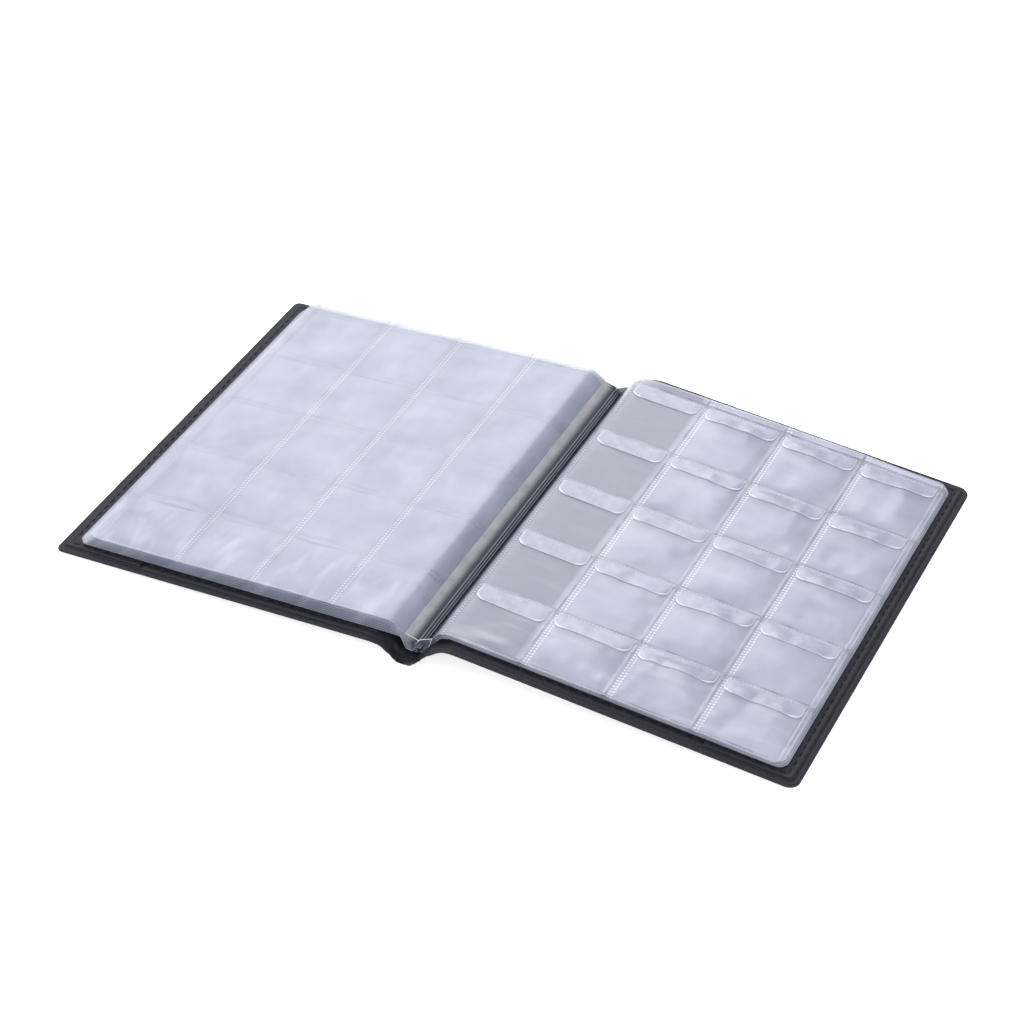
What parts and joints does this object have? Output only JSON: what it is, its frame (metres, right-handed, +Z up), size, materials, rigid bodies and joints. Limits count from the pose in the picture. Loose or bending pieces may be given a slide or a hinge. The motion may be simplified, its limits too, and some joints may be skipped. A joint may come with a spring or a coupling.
{
  "type": "coin album",
  "caption": "Coin album lying open: two soft black covers on a V-folded spine, with clear vinyl pocket leaves that turn and flaps that tuck over the pockets.",
  "frame": {"origin": "on the table under the middle of the open album", "axes": "+X across the open album toward the back cover, +Y toward the top edge of the leaves, +Z up"},
  "size_m": [0.331, 0.205, 0.0182],
  "materials": {
    "leatherette": "fine-grained black vinyl leatherette, satin",
    "board": "plain grey board",
    "thread": "black twisted sewing thread",
    "film": "clear, slightly blue vinyl film, glossy, softly wrinkled"
  },
  "bodies": {
    "spine": {"spine_skin": "leatherette", "spine_lining": "leatherette", "binding_strip": "film", "right_leaf_margins": "film"},
    "spine_fold": {"spine_fold_skin": "leatherette", "spine_fold_lining": "leatherette"},
    "front_cover": {"front_cover_skin": "leatherette", "front_board": "board", "front_lining": "leatherette", "front_sleeve": "leatherette", "front_seam_thread": "thread", "front_end_sheet": "film"},
    "back_cover": {"back_cover_skin": "leatherette", "back_board": "board", "back_lining": "leatherette", "back_sleeve": "leatherette", "back_seam_thread": "thread", "back_end_sheet": "film"},
    "left_margins": {"left_leaf_margins": "film"},
    "leaf_01": {"leaf_01_backing": "film", "leaf_01_pockets": "film"},
    "leaf_02": {"leaf_02_backing": "film", "leaf_02_pockets": "film"},
    "leaf_03": {"leaf_03_backing": "film", "leaf_03_pockets": "film"},
    "leaf_04": {"leaf_04_backing": "film", "leaf_04_pockets": "film"},
    "leaf_05": {"leaf_05_backing": "film", "leaf_05_pockets": "film"},
    "leaf_06": {"leaf_06_backing": "film", "leaf_06_pockets": "film"},
    "leaf_07": {"leaf_07_backing": "film", "leaf_07_pockets": "film"},
    "leaf_08": {"leaf_08_backing": "film", "leaf_08_pockets": "film"},
    "leaf_09": {"leaf_09_backing": "film", "leaf_09_pockets": "film"},
    "leaf_10": {"leaf_10_backing": "film", "leaf_10_pockets": "film"},
    "tuck_flap_11": {"tuck_flap_row1_column1": "film"},
    "tuck_flap_12": {"tuck_flap_row1_column2": "film"},
    "tuck_flap_13": {"tuck_flap_row1_column3": "film"},
    "tuck_flap_14": {"tuck_flap_row1_column4": "film"},
    "tuck_flap_21": {"tuck_flap_row2_column1": "film"},
    "tuck_flap_22": {"tuck_flap_row2_column2": "film"},
    "tuck_flap_23": {"tuck_flap_row2_column3": "film"},
    "tuck_flap_24": {"tuck_flap_row2_column4": "film"},
    "tuck_flap_31": {"tuck_flap_row3_column1": "film"},
    "tuck_flap_32": {"tuck_flap_row3_column2": "film"},
    "tuck_flap_33": {"tuck_flap_row3_column3": "film"},
    "tuck_flap_34": {"tuck_flap_row3_column4": "film"},
    "tuck_flap_41": {"tuck_flap_row4_column1": "film"},
    "tuck_flap_42": {"tuck_flap_row4_column2": "film"},
    "tuck_flap_43": {"tuck_flap_row4_column3": "film"},
    "tuck_flap_44": {"tuck_flap_row4_column4": "film"},
    "tuck_flap_51": {"tuck_flap_row5_column1": "film"},
    "tuck_flap_52": {"tuck_flap_row5_column2": "film"},
    "tuck_flap_53": {"tuck_flap_row5_column3": "film"},
    "tuck_flap_54": {"tuck_flap_row5_column4": "film"}
  },
  "joints": [
    {"name": "front_cover_hinge", "type": "hinge", "parent": "spine", "child": "front_cover", "pos_m": [-0.015, 0, 0.0062], "axis": [0, 1, 0], "range_deg": [0, 92], "deforming": ["left_leaf_margins"]},
    {"name": "left_pile_hinge", "type": "hinge", "parent": "spine", "child": "left_margins", "pos_m": [-0.0105, 0, 0.0065], "axis": [0, 1, 0], "range_deg": [0, 92]},
    {"name": "leaf_01_turn", "type": "hinge", "parent": "left_margins", "child": "leaf_01", "pos_m": [0.0017, 0, 0.01835], "axis": [0, -1, 0], "range_deg": [-26.89, 0]},
    {"name": "leaf_02_turn", "type": "hinge", "parent": "left_margins", "child": "leaf_02", "pos_m": [0.0017, 0, 0.01835], "axis": [0, -1, 0], "range_deg": [-53.74, 0]},
    {"name": "leaf_03_turn", "type": "hinge", "parent": "left_margins", "child": "leaf_03", "pos_m": [0.0017, 0, 0.01835], "axis": [0, -1, 0], "range_deg": [-80.58, 0]},
    {"name": "leaf_04_turn", "type": "hinge", "parent": "left_margins", "child": "leaf_04", "pos_m": [0.0017, 0, 0.01835], "axis": [0, -1, 0], "range_deg": [-107.42, 0]},
    {"name": "leaf_05_turn", "type": "hinge", "parent": "left_margins", "child": "leaf_05", "pos_m": [0.0017, 0, 0.01835], "axis": [0, -1, 0], "range_deg": [-134.26, 0]},
    {"name": "leaf_06_turn", "type": "hinge", "parent": "left_margins", "child": "leaf_06", "pos_m": [0.0017, 0, 0.01835], "axis": [0, -1, 0], "range_deg": [-161.11, 0]},
    {"name": "leaf_07_turn", "type": "hinge", "parent": "left_margins", "child": "leaf_07", "pos_m": [0.0017, 0, 0.01835], "axis": [0, -1, 0], "range_deg": [-187.9, 0]},
    {"name": "back_cover_hinge", "type": "hinge", "parent": "spine_fold", "child": "back_cover", "pos_m": [0.017, 0, 0.0132], "axis": [0, -1, 0], "range_deg": [0, 117], "deforming": ["right_leaf_margins"]},
    {"name": "spine_fold_hinge", "type": "hinge", "parent": "spine", "child": "spine_fold", "pos_m": [0.0015, 0, 0.0003], "axis": [0, -1, 0], "range_deg": [-22, 0]},
    {"name": "leaf_08_lift", "type": "hinge", "parent": "spine", "child": "leaf_08", "pos_m": [0.0156, 0, 0.0116], "axis": [0, -1, 0], "range_deg": [0, 95]},
    {"name": "leaf_09_lift", "type": "hinge", "parent": "spine", "child": "leaf_09", "pos_m": [0.0156, 0, 0.0116], "axis": [0, -1, 0], "range_deg": [0, 95]},
    {"name": "leaf_10_lift", "type": "hinge", "parent": "spine", "child": "leaf_10", "pos_m": [0.0156, 0, 0.0116], "axis": [0, -1, 0], "range_deg": [0, 95]},
    {"name": "tuck_flap_11_hinge", "type": "hinge", "parent": "leaf_08", "child": "tuck_flap_11", "pos_m": [0.03202, 0.0904, 0.01693], "axis": [-0.9963, 0, 0.0855], "range_deg": [0, 90]},
    {"name": "tuck_flap_12_hinge", "type": "hinge", "parent": "leaf_08", "child": "tuck_flap_12", "pos_m": [0.06515, 0.0904, 0.01409], "axis": [-0.9963, 0, 0.0855], "range_deg": [0, 90]},
    {"name": "tuck_flap_13_hinge", "type": "hinge", "parent": "leaf_08", "child": "tuck_flap_13", "pos_m": [0.10151, 0.0904, 0.01097], "axis": [-0.9963, 0, 0.0855], "range_deg": [0, 90]},
    {"name": "tuck_flap_14_hinge", "type": "hinge", "parent": "leaf_08", "child": "tuck_flap_14", "pos_m": [0.13788, 0.0904, 0.00785], "axis": [-0.9963, 0, 0.0855], "range_deg": [0, 90]},
    {"name": "tuck_flap_21_hinge", "type": "hinge", "parent": "leaf_08", "child": "tuck_flap_21", "pos_m": [0.03202, 0.052, 0.01693], "axis": [-0.9963, 0, 0.0855], "range_deg": [0, 90]},
    {"name": "tuck_flap_22_hinge", "type": "hinge", "parent": "leaf_08", "child": "tuck_flap_22", "pos_m": [0.06515, 0.052, 0.01409], "axis": [-0.9963, 0, 0.0855], "range_deg": [0, 90]},
    {"name": "tuck_flap_23_hinge", "type": "hinge", "parent": "leaf_08", "child": "tuck_flap_23", "pos_m": [0.10151, 0.052, 0.01097], "axis": [-0.9963, 0, 0.0855], "range_deg": [0, 90]},
    {"name": "tuck_flap_24_hinge", "type": "hinge", "parent": "leaf_08", "child": "tuck_flap_24", "pos_m": [0.13788, 0.052, 0.00785], "axis": [-0.9963, 0, 0.0855], "range_deg": [0, 90]},
    {"name": "tuck_flap_31_hinge", "type": "hinge", "parent": "leaf_08", "child": "tuck_flap_31", "pos_m": [0.03202, 0.0136, 0.01693], "axis": [-0.9963, 0, 0.0855], "range_deg": [0, 90]},
    {"name": "tuck_flap_32_hinge", "type": "hinge", "parent": "leaf_08", "child": "tuck_flap_32", "pos_m": [0.06515, 0.0136, 0.01409], "axis": [-0.9963, 0, 0.0855], "range_deg": [0, 90]},
    {"name": "tuck_flap_33_hinge", "type": "hinge", "parent": "leaf_08", "child": "tuck_flap_33", "pos_m": [0.10151, 0.0136, 0.01097], "axis": [-0.9963, 0, 0.0855], "range_deg": [0, 90]},
    {"name": "tuck_flap_34_hinge", "type": "hinge", "parent": "leaf_08", "child": "tuck_flap_34", "pos_m": [0.13788, 0.0136, 0.00785], "axis": [-0.9963, 0, 0.0855], "range_deg": [0, 90]},
    {"name": "tuck_flap_41_hinge", "type": "hinge", "parent": "leaf_08", "child": "tuck_flap_41", "pos_m": [0.03202, -0.0248, 0.01693], "axis": [-0.9963, 0, 0.0855], "range_deg": [0, 90]},
    {"name": "tuck_flap_42_hinge", "type": "hinge", "parent": "leaf_08", "child": "tuck_flap_42", "pos_m": [0.06515, -0.0248, 0.01409], "axis": [-0.9963, 0, 0.0855], "range_deg": [0, 90]},
    {"name": "tuck_flap_43_hinge", "type": "hinge", "parent": "leaf_08", "child": "tuck_flap_43", "pos_m": [0.10151, -0.0248, 0.01097], "axis": [-0.9963, 0, 0.0855], "range_deg": [0, 90]},
    {"name": "tuck_flap_44_hinge", "type": "hinge", "parent": "leaf_08", "child": "tuck_flap_44", "pos_m": [0.13788, -0.0248, 0.00785], "axis": [-0.9963, 0, 0.0855], "range_deg": [0, 90]},
    {"name": "tuck_flap_51_hinge", "type": "hinge", "parent": "leaf_08", "child": "tuck_flap_51", "pos_m": [0.03202, -0.0632, 0.01693], "axis": [-0.9963, 0, 0.0855], "range_deg": [0, 90]},
    {"name": "tuck_flap_52_hinge", "type": "hinge", "parent": "leaf_08", "child": "tuck_flap_52", "pos_m": [0.06515, -0.0632, 0.01409], "axis": [-0.9963, 0, 0.0855], "range_deg": [0, 90]},
    {"name": "tuck_flap_53_hinge", "type": "hinge", "parent": "leaf_08", "child": "tuck_flap_53", "pos_m": [0.10151, -0.0632, 0.01097], "axis": [-0.9963, 0, 0.0855], "range_deg": [0, 90]},
    {"name": "tuck_flap_54_hinge", "type": "hinge", "parent": "leaf_08", "child": "tuck_flap_54", "pos_m": [0.13788, -0.0632, 0.00785], "axis": [-0.9963, 0, 0.0855], "range_deg": [0, 90]}
  ],
  "couplings": [
    {"joint": "left_pile_hinge", "follows": "front_cover_hinge", "ratio": 1},
    {"joint": "leaf_01_turn", "follows": "leaf_07_turn", "ratio": 0.14286},
    {"joint": "leaf_02_turn", "follows": "leaf_07_turn", "ratio": 0.28571},
    {"joint": "leaf_03_turn", "follows": "leaf_07_turn", "ratio": 0.42857},
    {"joint": "leaf_04_turn", "follows": "leaf_07_turn", "ratio": 0.57143},
    {"joint": "leaf_05_turn", "follows": "leaf_07_turn", "ratio": 0.71429},
    {"joint": "leaf_06_turn", "follows": "leaf_07_turn", "ratio": 0.85714},
    {"joint": "back_cover_hinge", "follows": "leaf_08_lift", "ratio": 1.2315},
    {"joint": "spine_fold_hinge", "follows": "leaf_08_lift", "ratio": -0.23153},
    {"joint": "leaf_09_lift", "follows": "leaf_08_lift", "ratio": 1},
    {"joint": "leaf_10_lift", "follows": "leaf_08_lift", "ratio": 1}
  ]
}
